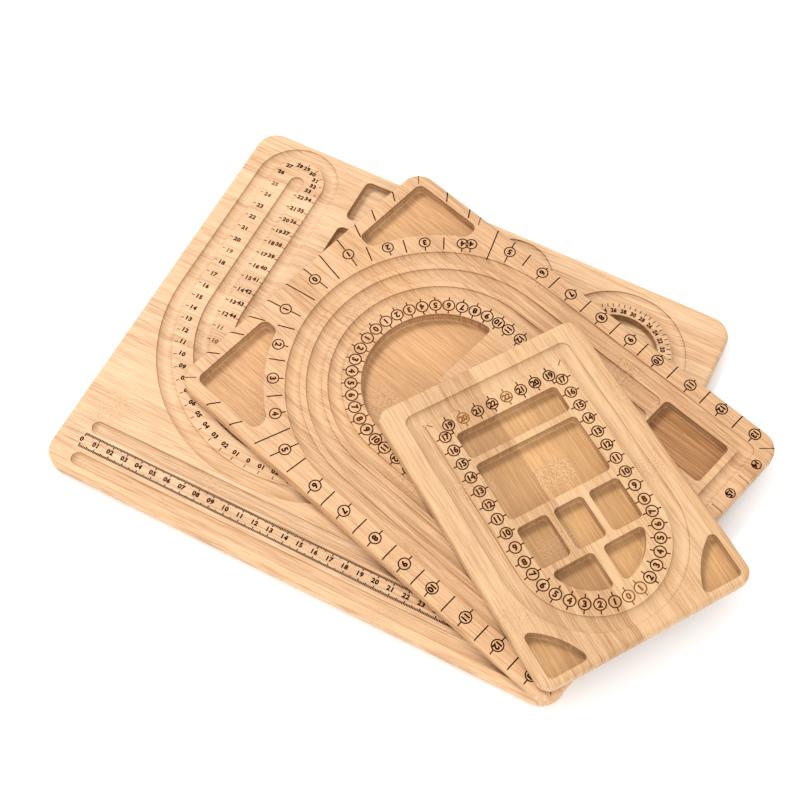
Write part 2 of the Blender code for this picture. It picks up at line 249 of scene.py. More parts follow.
def add_prism(bm, levels):
    """Closed solid lofted through (z, outline) levels, lowest first, given in millimetres."""
    rings = [[bm.verts.new((x * MM, y * MM, z * MM)) for x, y in points] for z, points in levels]
    count = len(rings[0])
    for low, high in zip(rings, rings[1:]):
        for k in range(count):
            n = (k + 1) % count
            bm.faces.new((low[k], low[n], high[n], high[k]))
    bm.faces.new(list(reversed(rings[0])))
    bm.faces.new(rings[-1])


def add_ring(bm, levels):
    """Closed ring lofted through (z, outer outline, inner outline) levels, lowest first."""
    outers = [[bm.verts.new((x * MM, y * MM, z * MM)) for x, y in outer] for z, outer, inner in levels]
    inners = [[bm.verts.new((x * MM, y * MM, z * MM)) for x, y in inner] for z, outer, inner in levels]
    count = len(outers[0])
    for k in range(count):
        n = (k + 1) % count
        for low in range(len(levels) - 1):
            high = low + 1
            bm.faces.new((outers[low][k], outers[low][n], outers[high][n], outers[high][k]))
            bm.faces.new((inners[low][n], inners[low][k], inners[high][k], inners[high][n]))
        bm.faces.new((outers[0][n], outers[0][k], inners[0][k], inners[0][n]))
        bm.faces.new((outers[-1][k], outers[-1][n], inners[-1][n], inners[-1][k]))


def cut_tray(bm, points, depth):
    add_prism(bm, [(z, inset_outline(points, i)) for z, i in tray_levels(depth)])


def cut_slot(bm, outline, half):
    """Open ended channel; outline(inset) gives its rim moved inwards."""
    add_prism(bm, [(z, outline(i)) for z, i in pipe_levels(half)])


def cut_loop(bm, outline, outside, inside):
    """Closed channel between outline(outside) and outline(inside), two distances from one line."""
    levels = pipe_levels((outside - inside) / 2)
    add_ring(bm, [(z, outline(outside - i), outline(inside + i)) for z, i in levels])


def mill_large(bm):
    """U channel round a U slot, oval channel round an oval tray, three trays and two ruler slots."""
    depth, corner, slot_half = TRAY_DEPTH["large"], 4.0, 4.95
    tray_left, tray_right, tray_top, tray_width, tray_pitch = -88.6, -21.0, 131.2, 32.5, 40.0
    ruler_slot_length, ruler_slot_half, ruler_slot_rows = 152.5, 4.2, (-130.4, -107.2)

    def band(half):
        return u_band(U_X, U_Y, U_RADIUS, U_LEG_END, half)

    def oval(radius):
        return stadium(OVAL_X, OVAL_TOP, OVAL_BOTTOM, radius)

    cut_loop(bm, band, outside=28.0, inside=18.4)
    cut_slot(bm, lambda i: band(slot_half - i), slot_half)
    cut_loop(bm, oval, outside=45.0, inside=36.0)
    cut_tray(bm, oval(27.3), depth)
    for k in range(3):
        top = tray_top - tray_pitch * k
        cut_tray(bm, rounded_box(tray_left, tray_right, top - tray_width, top, corner), depth)
    for y in ruler_slot_rows:
        cut_slot(bm, lambda i: lying_stadium(y, ruler_slot_length - i, ruler_slot_half - i),
                 ruler_slot_half)


def mill_middle(bm):
    """Closed arched channel, two nested U slots, a dome, two wide, five foot and two corner trays."""
    depth, corner, slot_end, dome = TRAY_DEPTH["middle"], 3.0, 101.0, 49.6
    outside, inside, foot_outside, foot_inside = 96.2, 87.2, -167.5, -159.6
    foot_left, foot_width, foot_pitch, foot_low, foot_high = -85.0, 30.64, 34.84, -155.0, -107.2

    levels = pipe_levels((outside - inside) / 2)
    add_ring(bm, [(z, arch_outline(outside - i, foot_outside + i, 5.2 - i),
                   arch_outline(inside + i, foot_inside - i, 1.0 + i)) for z, i in levels])
    for radius, half in ((78.5, 4.8), (65.8, 4.3)):
        cut_slot(bm, lambda i: flipped(u_band(0, 0, radius, slot_end, half - i)), half)
    cut_tray(bm, dome_tray(dome), depth)
    for low, high in ((-96.0, -63.0), (-57.0, -24.0)):
        cut_tray(bm, rounded_box(-dome, dome, low, high, corner), depth)
    for k in range(5):
        left = foot_left + k * foot_pitch
        cut_tray(bm, rounded_box(left, left + foot_width, foot_low, foot_high, corner), depth)
    corner_tray = side_tray_outside(xs=(42.5, 100.8), ys=(60.7, 111.4), radius=109.3, f=4.5)
    cut_tray(bm, corner_tray, depth)
    cut_tray(bm, mirrored(corner_tray), depth)


def mill_small(bm):
    """Closed U channel, two wide trays, three small ones, two quarter trays and two corner trays."""
    depth, corner, half_width, gap = TRAY_DEPTH["small"], 3.0, 34.6, 4.3
    outside, inside, head_outside, head_inside = 57.2, 47.5, 117.5, 107.6
    small_half, small_low, small_high = 9.9, -3.6, 24.6

    levels = pipe_levels((outside - inside) / 2)
    add_ring(bm, [(z, flipped(arch_outline(outside - i, i - head_outside, 5.4 - i)),
                   flipped(arch_outline(inside + i, -i - head_inside, 1.0 + i))) for z, i in levels])
    for low, high in ((75.2, 93.5), (30.6, 70.7)):
        cut_tray(bm, rounded_box(-half_width, half_width, low, high, corner), depth)
    beside = small_half + gap
    for left, right in ((-half_width, -beside), (-small_half, small_half), (beside, half_width)):
        cut_tray(bm, rounded_box(left, right, small_low, small_high, corner), depth)
    quarter = quarter_tray()
    cut_tray(bm, quarter, depth)
    cut_tray(bm, mirrored(quarter), depth)
    corner_tray = flipped(side_tray_inside(a=64.1, b=60.6, cx=88.0, cy=76.0, radius=52.2, f=corner))
    cut_tray(bm, corner_tray, depth)
    cut_tray(bm, mirrored(corner_tray), depth)


# ---------------------------------------------------------------- boards and their staves

def object_from(bm, name):
    mesh = bpy.data.meshes.new(name)
    bmesh.ops.recalc_face_normals(bm, faces=bm.faces)
    bm.to_mesh(mesh)
    bm.free()
    obj = bpy.data.objects.new(name, mesh)
    bpy.context.scene.collection.objects.link(obj)
    return obj


def edge_levels():
    """(height, inset) of the rounded edge of a board, in millimetres, lowest first."""
    low, high = BOTTOM_ROUND / MM, TOP_ROUND / MM
    turns = [math.radians(a) for a in (0, 22.5, 45, 67.5, 90)]
    bottom = [(low * (1 - math.cos(a)), low * (1 - math.sin(a))) for a in turns]
    turns = [math.radians(a) for a in (0, 15, 30, 45, 60, 75, 90)]
    return bottom + [(SURFACE - high + high * math.sin(a), high * (1 - math.cos(a))) for a in turns]


def milled_slab(name, mill):
    """The whole board before it is sawn into staves, as a bmesh in the board's frame."""
    x0, x1, y0, y1 = BOARDS[name].extent
    corner = BOARDS[name].corner
    bm = bmesh.new()
    add_prism(bm, [(z, rounded_box(x0 + i, x1 - i, y0 + i, y1 - i, corner - i, 12))
                   for z, i in edge_levels()])
    slab = object_from(bm, name + "_slab")
    bm = bmesh.new()
    mill(bm)
    milling = object_from(bm, name + "_milling")
    modifier = slab.modifiers.new("Mill", "BOOLEAN")
    modifier.operation, modifier.solver, modifier.object = "DIFFERENCE", "EXACT", milling
    bpy.context.view_layer.update()
    result = bpy.data.meshes.new_from_object(slab.evaluated_get(bpy.context.evaluated_depsgraph_get()))
    bm = bmesh.new()
    bm.from_mesh(result)
    bpy.data.meshes.remove(result)
    for obj in (slab, milling):
        mesh = obj.data
        bpy.data.objects.remove(obj, do_unlink=True)
        bpy.data.meshes.remove(mesh)
    return bm


def saw(bm, axis, position, keep_above):
    """Cut the closed mesh at a plane across the x (0) or y (1) axis and close the cut."""
    point, normal = Vector((0, 0, 0)), Vector((0, 0, 0))
    point[axis], normal[axis] = position, 1.0
    cut = bmesh.ops.bisect_plane(bm, geom=bm.verts[:] + bm.edges[:] + bm.faces[:], dist=1e-7,
                                 plane_co=point, plane_no=normal,
                                 clear_inner=keep_above, clear_outer=not keep_above)
    edges = [e for e in cut["geom_cut"] if isinstance(e, bmesh.types.BMEdge)]
    bmesh.ops.edgeloop_fill(bm, edges=edges)


def smooth_by_area(obj):
    """Smooth shading with flat faces kept flat."""
    for face in obj.data.polygons:
        face.use_smooth = True
    obj.data.set_sharp_from_angle(angle=math.radians(42))
    modifier = obj.modifiers.new("Flat faces", "WEIGHTED_NORMAL")
    modifier.keep_sharp = True
    modifier.weight = 100


def board_matrix(name):
    """A board's frame, resting where its CAD staves rest."""
    x, y = BOARDS[name].place
    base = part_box(name + "_stave_02")[0].z
    return (Matrix.Translation((x * MM, y * MM, base))
            @ Matrix.Rotation(math.radians(BOARDS[name].turn), 4, "Z"))


def make_staves(name, mill):
    axis = 1 if BOARDS[name].grain == "x" else 0
    slab = milled_slab(name, mill)
    limits = [None] + BOARDS[name].seams + [None]
    for k, (start, end) in enumerate(zip(limits, limits[1:])):
        bm = slab.copy()
        if start is not None:
            saw(bm, axis, start, True)
        if end is not None:
            saw(bm, axis, end, False)
        node = "%s_stave_%02d" % (name, k + 1)
        stave = object_from(bm, node + "_wood")
        stave.matrix_world = board_matrix(name)
        stave.data.materials.append(StaveWood(name, k).finish())
        smooth_by_area(stave)
        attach(stave, name + "_board")
        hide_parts(node)
    slab.free()


# ---------------------------------------------------------------- materials

class Graph:
    """Small helper to write a node graph as formulas."""

    def __init__(self, name):
        self.material = bpy.data.materials.new(name)
        self.material.use_nodes = True
        self.nodes = self.material.node_tree.nodes
        self.links = self.material.node_tree.links
        self.shader = self.nodes["Principled BSDF"]

    def put(self, socket, value):
        if isinstance(value, bpy.types.NodeSocket):
            self.links.new(value, socket)
        else:
            socket.default_value = value

    def math(self, operation, a, b=0.0, c=0.0, clamp=False):
        node = self.nodes.new("ShaderNodeMath")
        node.operation, node.use_clamp = operation, clamp
        for socket, value in zip(node.inputs, (a, b, c)):
            self.put(socket, value)
        return node.outputs[0]

    def plus(self, a, b, clamp=False):
        return self.math("ADD", a, b, clamp=clamp)

    def times(self, a, b):
        return self.math("MULTIPLY", a, b)

    def vector(self, x, y, z):
        node = self.nodes.new("ShaderNodeCombineXYZ")
        for socket, value in zip(node.inputs, (x, y, z)):
            self.put(socket, value)
        return node.outputs[0]

    def split(self, vector):
        node = self.nodes.new("ShaderNodeSeparateXYZ")
        self.put(node.inputs[0], vector)
        return node.outputs

    def coordinates(self):
        return self.nodes.new("ShaderNodeTexCoord").outputs["Object"]

    def noise(self, vector, scale=1.0, detail=2.0):
        node = self.nodes.new("ShaderNodeTexNoise")
        self.put(node.inputs["Vector"], vector)
        node.inputs["Scale"].default_value = scale
        node.inputs["Detail"].default_value = detail
        return node.outputs["Fac"]

    def span(self, value, low, high, to_low=0.0, to_high=1.0, smooth=False):
        """The value's place between low and high, carried over to another range."""
        node = self.nodes.new("ShaderNodeMapRange")
        node.interpolation_type = "SMOOTHSTEP" if smooth else "LINEAR"
        for index, item in enumerate((value, low, high, to_low, to_high)):
            self.put(node.inputs[index], item)
        return node.outputs[0]

    def mix(self, factor, a, b):
        node = self.nodes.new("ShaderNodeMix")
        node.data_type = "RGBA"
        self.put(node.inputs[0], factor)
        self.put(node.inputs[6], a)
        self.put(node.inputs[7], b)
        return node.outputs[2]


# Linear colours of each board: pale wood, deep wood, milled floors. The middle and small boards' darker
# floors are partly the deeper wood a cut reaches and partly painted shade; the large board's floors, paler
# than its top, are painted light against the shade in its trays
WOOD = {
    "large": ((0.550, 0.355, 0.203, 1), (0.300, 0.140, 0.052, 1), (0.610, 0.395, 0.215, 1)),
    "middle": ((0.510, 0.307, 0.160, 1), (0.245, 0.100, 0.033, 1), (0.455, 0.245, 0.102, 1)),
    "small": ((0.505, 0.318, 0.168, 1), (0.280, 0.130, 0.046, 1), (0.390, 0.206, 0.078, 1)),
}
# The middle board's floors: pale wood in most trays, deep and pale wood in the foot trays below y; these
# darker floors are partly deeper wood and partly painted shade
MIDDLE_FLOOR_PALE, FOOT_TRAYS_BELOW = (0.56, 0.320, 0.145, 1), -105.0
FOOT_FLOOR, FOOT_FLOOR_PALE = (0.200, 0.070, 0.010, 1), (0.41, 0.200, 0.074, 1)
# For each stave: where a culm knuckle crosses it, in millimetres along the grain, how strong the
# knuckle is, and how deep the stave's tone is
STAVE_LOOKS = {
    "large": [(60, 0.3, 0.10), (-72, 0.5, 0.25), (-148, 0.6, 0.15), (90, 0.4, 0.05), (-95, 0.3, 0.20),
              (-128, 0.5, 0.30), (30, 0.3, 0.05), (-128, 0.8, 0.25), (120, 0.5, 0.10), (-40, 0.3, 0.20),
              (150, 0.6, 0.05), (20, 0.3, 0.30), (-100, 0.2, 0.10)],
    "middle": [(-60, 0.5, 0.05), (70, 0.4, 0.20), (-30, 0.5, 0.05), (20, 0.6, 0.15), (-110, 0.5, 0.25),
               (75, 0.6, 0.05), (-20, 0.3, 0.18), (78, 0.4, 0.05), (-75, 0.8, 0.25), (5, 0.5, 0.22)],
    "small": [(-20, 0.4, 0.10), (60, 0.5, 0.30), (5, 0.6, 0.46), (46, 1.0, 0.00), (-50, 0.3, 0.15),
              (20, 0.7, 0.05), (70, 0.6, 0.25)],
}


class StaveWood(Graph):
    """Bamboo of one stave: fibres, growth streaks, one knuckle, and the milled faces."""
    # How much each kind of fibre deepens the wood, and how much paler the wood is than their sum
    LINE, STREAK, BAND, PALENESS = 0.44, 0.38, 0.22, 0.37
    TRAY_MASK = (5.2, 4.6)   # deeper than this under the top face is a tray's floor, not a channel

    def __init__(self, board, index):
        super().__init__("%s_bamboo_%02d" % (board, index + 1))
        self.board = board
        self.knuckle, self.strength, self.tone = STAVE_LOOKS[board][index]
        rng = random.Random("%s stave %d" % (board, index))
        self.shift = rng.uniform(0, 9)
        warm = rng.uniform(-1, 1)
        pale, self.deep, floor = WOOD[board]
        self.pale = (pale[0], pale[1] * (1 - 0.025 * warm), pale[2] * (1 - 0.07 * warm), 1)
        self.floor = tuple(c * (1.12 - 0.55 * self.tone) for c in floor[:3]) + (1,)

        self.x, self.y, self.z = self.split(self.coordinates())
        self.along, across = (self.x, self.y) if BOARDS[board].grain == "x" else (self.y, self.x)
        wobble = self.noise(self.vector(self.times(self.along, 9.0), self.shift, 0.0), detail=1.0)
        self.across = self.plus(across, self.times(wobble, 1.5 * MM))
        normal = self.nodes.new("ShaderNodeNewGeometry").outputs["Normal"]
        self.upward = self.split(normal)[2]
        self.fine, self.medium = self.fibres(60.0, 2000.0), self.fibres(30.0, 1250.0)
        self.lines = self.span(self.fine, 0.38, 0.62)

    def fibres(self, long_scale, cross_scale, detail=2.0):
        """Noise drawn out along the grain."""
        return self.noise(self.vector(self.math("MULTIPLY_ADD", self.along, long_scale, self.shift),
                                      self.times(self.across, cross_scale),
                                      self.times(self.z, cross_scale * 0.08)), detail=detail)

    def speckle(self, long_scale, cross_scale, detail=2.0):
        return self.noise(self.vector(self.times(self.along, long_scale),
                                      self.times(self.across, cross_scale), self.shift), detail=detail)

    def between_depths(self, start, end, at_start=0.0, at_end=1.0):
        """Runs from one value to another between two depths under the top face, in millimetres."""
        return self.span(self.z, (SURFACE - start) * MM, (SURFACE - end) * MM, at_start, at_end)

    def planed(self):
        """Pale wood with deeper lines, streaks and broad bands."""
        streaks = self.span(self.medium, 0.44, 0.64)
        bands = self.span(self.fibres(7.0, 260.0, detail=1.0), 0.34, 0.66)
        depth = self.plus(self.times(self.lines, self.LINE), self.times(streaks, self.STREAK))
        depth = self.plus(depth, self.times(bands, self.BAND))
        depth = self.plus(depth, self.tone - self.PALENESS, clamp=True)
        return self.mix(depth, self.pale, self.deep)

    def with_tray_floors(self, wood, tray_deep):
        """Tray floors get their own colour: partly the deeper coloured wood a cut reaches, partly painted
        shade, and painted light on the large board's paler floors.
        """
        if self.board == "middle":
            foot = self.span(self.y, (FOOT_TRAYS_BELOW - 1.0) * MM, (FOOT_TRAYS_BELOW + 1.0) * MM, 1.0, 0.0)
            floor = self.mix(foot, self.floor, FOOT_FLOOR)
            floor_pale = self.mix(foot, MIDDLE_FLOOR_PALE, FOOT_FLOOR_PALE)
        else:
            floor = self.floor
            floor_pale = (floor[0] * 1.28, floor[1] * 1.38, floor[2] * 1.5, 1)
        floor_wood = self.mix(self.span(self.medium, 0.42, 0.60), floor, floor_pale)
        lined = self.math("MULTIPLY_ADD", self.lines, 0.42, self.tone * 0.4)
        floor_wood = self.mix(lined, floor_wood, self.deep)
        # Floor colour on up-facing faces below a channel's depth: partly deeper wood, partly painted shade,
        # and painted light on the large board
        on_floor = self.times(self.span(self.upward, 0.55, 0.9), tray_deep)
        return self.mix(self.times(on_floor, 0.88), wood, floor_wood)

    def with_knuckle(self, wood):
        """Ragged patch of short dashes where a knuckle of the culm crosses the stave."""
        away = self.math("ABSOLUTE", self.math("SUBTRACT", self.along, self.knuckle * MM))
        ragged = self.math("SUBTRACT", self.speckle(160.0, 500.0), 0.5)
        away = self.plus(away, self.times(ragged, 14 * MM))
        patch = self.span(away, 4.0 * MM, 13.0 * MM, 1.0, 0.0, smooth=True)
        dots = self.speckle(850.0, 1500.0, detail=1.0)
        dotted = self.mix(self.span(dots, 0.46, 0.58), self.pale, self.deep)
        return self.mix(self.times(patch, 0.60 * self.strength), wood, dotted)

    def with_channels(self, wood, tray_deep):
        """Painted light: channel bottoms and the slopes that face up are made a little paler."""
        hollow = self.times(self.between_depths(1.0, 2.6), self.math("SUBTRACT", 1.0, tray_deep))
        painted_light = self.times(hollow, self.span(self.upward, 0.45, 0.85))
        # Painted light: up-facing channel faces mixed a little towards paler wood
        return self.mix(self.times(painted_light, 0.05), wood, [min(1.0, c * 1.18) for c in self.pale])

    def with_walls(self, wood):
        """Painted shade on the steep walls of trays and channels, most of all near the rim, kept off the
        board's rounded outer edge.
        """
        x0, x1, y0, y1 = [side * MM for side in BOARDS[self.board].extent]
        wall = self.times(self.span(self.upward, 0.50, 0.15), self.between_depths(0.15, 0.5))
        wall = self.times(wall, self.between_depths(2.2, 1.0, 0.25, 0.9))
        edge = self.math("MINIMUM", self.math("SUBTRACT", self.x, x0), self.math("SUBTRACT", x1, self.x))
        edge = self.math("MINIMUM", edge, self.math("SUBTRACT", self.y, y0))
        edge = self.math("MINIMUM", edge, self.math("SUBTRACT", y1, self.y))
        past_edge = TOP_ROUND + 1.2 * MM
        wall = self.times(wall, self.span(edge, past_edge, past_edge + 0.2 * MM))
        # Painted shade: the walls are mixed towards deep wood made darker still
        return self.mix(wall, wood, [c * 0.70 for c in self.deep])

    def finish(self):
        tray_deep = self.between_depths(*self.TRAY_MASK, 1.0, 0.0)
        wood = self.with_tray_floors(self.planed(), tray_deep)
        wood = self.with_channels(self.with_knuckle(wood), tray_deep)
        self.put(self.shader.inputs["Base Color"], self.with_walls(wood))
        self.put(self.shader.inputs["Roughness"], self.span(self.fine, 0.3, 0.7, 0.46, 0.60))
        self.shader.inputs["Specular IOR Level"].default_value = 0.32
        bump = self.nodes.new("ShaderNodeBump")
        bump.inputs["Strength"].default_value = 0.25
        bump.inputs["Distance"].default_value = 0.08 * MM
        self.put(bump.inputs["Height"], self.plus(self.fine, self.medium))
        self.put(self.shader.inputs["Normal"], bump.outputs[0])
        return self.material


def burn(name, dark, light):
    """Scorched lines, uneven where the beam ran over hard fibres."""
    g = Graph(name)
    coordinates = g.coordinates()
    patchy = g.noise(coordinates, scale=120.0)
    grainy = g.noise(coordinates, scale=2600.0, detail=1.0)
    amount = g.plus(g.span(patchy, 0.35, 0.70, 0.0, 0.75), g.span(grainy, 0.3, 0.7, 0.0, 0.25), clamp=True)
    g.put(g.shader.inputs["Base Color"], g.mix(amount, dark, light))
    g.put(g.shader.inputs["Roughness"], g.span(grainy, 0.3, 0.7, 0.7, 0.9))
    g.shader.inputs["Specular IOR Level"].default_value = 0.0
    return g.material


# ---------------------------------------------------------------- burnt scales

FONT_CAPITAL = 0.72   # height of a digit of the built-in font at size one
BOLD = 0.055          # how far digit outlines are pushed out, at size one


def glyph_library(height):
    """Outlines of the ten digits as flat closed meshes of unit depth, centred, in millimetres."""
    library = {}
    for character in "0123456789":
        curve = bpy.data.curves.new("glyph", "FONT")
        curve.body, curve.size, curve.offset, curve.resolution_u = character, 1.0, BOLD, 3
        curve.extrude = 0.5
        obj = bpy.data.objects.new("glyph", curve)
        bpy.context.scene.collection.objects.link(obj)
        bpy.context.view_layer.update()
        mesh = bpy.data.meshes.new_from_object(obj.evaluated_get(bpy.context.evaluated_depsgraph_get()))
        bm = bmesh.new()
        bm.from_mesh(mesh)
        bmesh.ops.remove_doubles(bm, verts=bm.verts, dist=1e-5)
        xs, ys = [v.co.x for v in bm.verts], [v.co.y for v in bm.verts]
        middle_x, middle_y = (min(xs) + max(xs)) / 2, (min(ys) + max(ys)) / 2
        scale = height / FONT_CAPITAL
        points = [((v.co.x - middle_x) * scale, (v.co.y - middle_y) * scale, v.co.z > 0) for v in bm.verts]
        bm.verts.index_update()
        library[character] = (points, [[v.index for v in f.verts] for f in bm.faces])
        bm.free()
        bpy.data.objects.remove(obj, do_unlink=True)
        bpy.data.curves.remove(curve)
        bpy.data.meshes.remove(mesh)
    return library


def polar(radius, degrees, cx=0.0, cy=0.0):
    return cx + radius * math.cos(math.radians(degrees)), cy + radius * math.sin(math.radians(degrees))


class Marks:
    """Collects the strokes, rings and numbers of one board in one tone."""

    def __init__(self, board, tone, digits):
        self.board, self.tone, self.digits, self.bm = board, tone, digits, bmesh.new()

    def margin(self, x, y):
        """Distance to the nearest side of the board, in millimetres."""
        x0, x1, y0, y1 = BOARDS[self.board].extent
        return min(x - x0, x1 - x, y - y0, y1 - y)

    def surface(self, x, y):
        """Height of the board's top there, following its rounded edge, in millimetres."""
        r = TOP_ROUND / MM
        past = min(max(r - self.margin(x, y), 0.0), r * 0.98)
        return SURFACE - r + math.sqrt(r * r - past * past)

    def vertex(self, x, y, upper):
        z = self.surface(x, y) + (MARK_ABOVE if upper else -MARK_BELOW) / MM
        return self.bm.verts.new((x * MM, y * MM, z * MM))

    def stroke(self, start, end, width):
        """Straight line, in short steps where it runs over the board's rounded edge."""
        a, b = Vector(start), Vector(end)
        side = Vector((a.y - b.y, b.x - a.x)).normalized() * (width / 2)
        over_edge = min(self.margin(*a), self.margin(*b)) < TOP_ROUND / MM
        steps = max(1, round((b - a).length / 0.4)) if over_edge else 1
        rings = []
        for k in range(steps + 1):
            p = a.lerp(b, k / steps)
            rings.append([self.vertex(*(p - side), False), self.vertex(*(p + side), False),
                          self.vertex(*(p + side), True), self.vertex(*(p - side), True)])
        for first, second in zip(rings, rings[1:]):
            for k in range(4):
                n = (k + 1) % 4
                self.bm.faces.new((first[k], first[n], second[n], second[k]))
        self.bm.faces.new(rings[0])
        self.bm.faces.new(list(reversed(rings[-1])))

    def ring(self, cx, cy, radius, width, steps=32):
        outer = arc(cx, cy, radius, 0, 360, steps)[:-1]
        inner = arc(cx, cy, radius - width, 0, 360, steps)[:-1]
        low_out, low_in = [self.vertex(*p, False) for p in outer], [self.vertex(*p, False) for p in inner]
        top_out, top_in = [self.vertex(*p, True) for p in outer], [self.vertex(*p, True) for p in inner]
        for k in range(steps):
            n = (k + 1) % steps
            for a, b in ((low_out, top_out), (top_out, top_in), (top_in, low_in), (low_in, low_out)):
                self.bm.faces.new((a[k], a[n], b[n], b[k]))

    def number(self, text, cx, cy, up, pitch, stretch=1.0):
        """Digits centred on a point; up is the direction of their top in degrees."""
        along = math.radians(up - 90.0)
        ax, ay = math.cos(along), math.sin(along)
        for k, character in enumerate(text):
            move = (k - (len(text) - 1) / 2) * pitch
            points, faces = self.digits[character]
            made = []
            for px, py, upper in points:
                px = px * stretch + move
                made.append(self.vertex(cx + px * ax - py * ay, cy + px * ay + py * ax, upper))
            for face in faces:
                self.bm.faces.new([made[i] for i in face])

    def circled(self, number, cx, cy, up, ticks=(), radius=3.9, width=0.76, pitch=2.45):
        """Number in a circle with ticks at the given (direction, length) pairs."""
        self.ring(cx, cy, radius, width)
        self.number(str(number), cx, cy, up, pitch)
        for direction, length in ticks:
            self.stroke(polar(radius, direction, cx, cy), polar(radius + length, direction, cx, cy), width)

    def finish(self, material):
        name = "%s_scale_%s" % (self.board, self.tone)
        marks = object_from(self.bm, name)
        marks.matrix_world = board_matrix(self.board)
        marks.data.materials.append(material)
        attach(marks, self.board + "_board")


def small_scales(tones):
    """Necklace scale round the small board's island: up both straight sides, foot and head."""
    def place(number, cx, cy, up, direction, tone):
        tones[tone].circled(number, cx, cy, up, ((direction, 2.1), (direction + 180, 2.1)))

    # Circles that were burnt more or less strongly than the others, as (number, side)
    foot_tones = {(0, 1): "pale", (1, 1): "pale"}
    head_tones = {(20, -1): "pale", (22, 1): "pale", (20, 1): "dark", (19, 1): "dark"}
    for side in (-1, 1):
        for k in range(8):
            if k == 0 and side < 0:
                continue
            angle = -90.0 + side * math.degrees(0.212 * k)
            x, y = polar(40.54, angle)
            place(k, x, y, angle + 180.0, angle, foot_tones.get((k, side), "middle"))
        for k in range(8, 18):
            place(k, side * 40.65, 5.09 + 10.0 * (k - 8), 90, 0, "middle")
        for k in range(19, 23):
            x = side * (35.0 - 10.0 * (k - 19))
            place(k, x, 100.96, 90, 90, head_tones.get((k, side), "middle"))
    tones["middle"].stroke((-46.5, 107.2), (-43.8, 104.5), 0.5)
    tones["middle"].stroke((46.9, 107.2), (43.8, 104.3), 0.5)
    tones["middle"].ring(-48.5, 107.2, 0.3, 0.2, 10)


def middle_necklace(dark, mid):
    """Circled numbers round the dome and down both sides of the wide trays."""
    for side in (-1, 1):
        for k in range(11):
            if k == 0 and side < 0:
                continue
            angle = 90.0 - side * math.degrees(0.151 * k)
            x, y = polar(55.92, angle)
            tone = dark if side > 0 and k >= 7 else mid
            tone.circled(k, x, y, angle + 180.0, ((angle, 1.9), (angle + 180, 1.9)), radius=4.1, pitch=2.5)
        for k in range(11, 19):
            tone = dark if side > 0 else mid
            tone.circled(k, side * 56.2, -4.4 - 9.95 * (k - 11), -90, ((0, 1.9), (180, 1.9)),
                         radius=4.1, pitch=2.5)


def middle_outer_numbers(dark, mid):
    """Circled numbers between the arched channel and the board's edge, all the way round."""
    dark.circled(0, 0.0, 109.3, -90)
    dark.stroke((0.8, 98.6), (0.8, 105.5), 0.75)
    dark.stroke((0.8, 113.0), (0.8, 120.9), 0.75)
    for number, cx, cy in ((1, 28.3, 107.1), (2, 49.5, 92.3), (3, 68.6, 77.7), (4, 84.7, 59.3)):
        angle = math.degrees(math.atan2(cy, cx))
        inner_tick = 6.8 if number == 1 else 2.6
        for side in (-1, 1):
            facing = angle if side > 0 else 180.0 - angle
            tone = mid if side < 0 else dark
            tone.circled(number, side * cx, cy, facing + 180.0, ((facing + 180.0, inner_tick),))
    dark.circled(4, 88.3, 55.0, 212, ((212, 2.6),))
    for cx, cy, out in ((-97.8, 38.0, 160), (100.8, 33.0, 18)):
        dark.circled(5, cx, cy, out + 180, ((out, 6.0), (out + 180, 5.0)))
    side_rows = ((6, 8.3), (7, -15.3), (8, -40.3), (9, -63.5), (10, -85.0), (11, -110.5), (12, -134.5),
                 (13, -159.5))
    for number, y in side_rows:
        for x, shift in ((-102.3, 0.0), (103.1, -0.8)):
            dark.circled(number, x, y + shift, -90, ((0, 2.6), (180, 2.6)))
    for number, x in ((14, 87.5), (15, 61.8), (16, 36.2), (17, 10.6)):
        for side in (-1, 1):
            dark.circled(number, side * x, -173.0, -90, radius=3.2, width=0.6, pitch=2.2)


def middle_outer_strokes(dark, mid):
    """Half steps of the outer scale, square to the arched channel."""
    for side in (-1, 1):
        for y in (-2.75, -28.5, -52.3, -74.3, -97.8, -123.0, -147.5):
            dark.stroke((side * 96.9, y), (side * 108.9, y), 0.8)
        for x in (74.5, 48.8, 23.4):
            mid.stroke((side * x, -169.3), (side * x, -177.0), 0.4)
        dark.stroke((side * 97.3, -167.9), (side * 103.6, -174.6), 0.5)
        mid.stroke((side * 105.0, 117.0), (side * 100.3, 112.1), 0.5)
    arch_lines = (((15.0, 120.8), (11.0, 98.3)), ((31.4, 120.7), (29.3, 111.2)),
                  ((40.0, 102.5), (35.0, 92.5)), ((48.0, 120.8), (43.2, 110.5)),
                  ((64.0, 120.8), (59.2, 112.4)), ((60.5, 89.2), (55.0, 80.8)),
                  ((84.0, 120.8), (79.0, 113.7)), ((80.0, 71.3), (73.0, 65.2)),
                  ((109.0, 94.3), (102.0, 88.8)), ((109.0, 74.3), (102.0, 69.9)))
    for start, end in arch_lines:
        for side, tone in ((-1, mid), (1, dark)):
            tone.stroke((side * start[0], start[1]), (side * end[0], end[1]), 0.8)
    dark.stroke((109.0, 65.0), (102.5, 61.5), 0.5)
    left_lines = (((-107.5, 54.0), (-85.5, 45.8)), ((-107.5, 26.7), (-93.3, 25.0)))
    right_lines = (((109.0, 49.5), (86.2, 40.0)), ((109.0, 21.9), (98.3, 20.3)))
    for start, end in left_lines + right_lines:
        dark.stroke(start, end, 0.8)


def middle_scales(tones):
    for draw in (middle_necklace, middle_outer_numbers, middle_outer_strokes):
        draw(tones["dark"], tones["middle"])


def ruler_label(tone, number, x, y, up=90.0):
    """Two-digit number on the large board, placed from the ruler's zero."""
    text = "%02d" % number if number else "0"
    tone.number(text, x + RULER_X, y + RULER_Y, up, pitch=2.35, stretch=1.06)


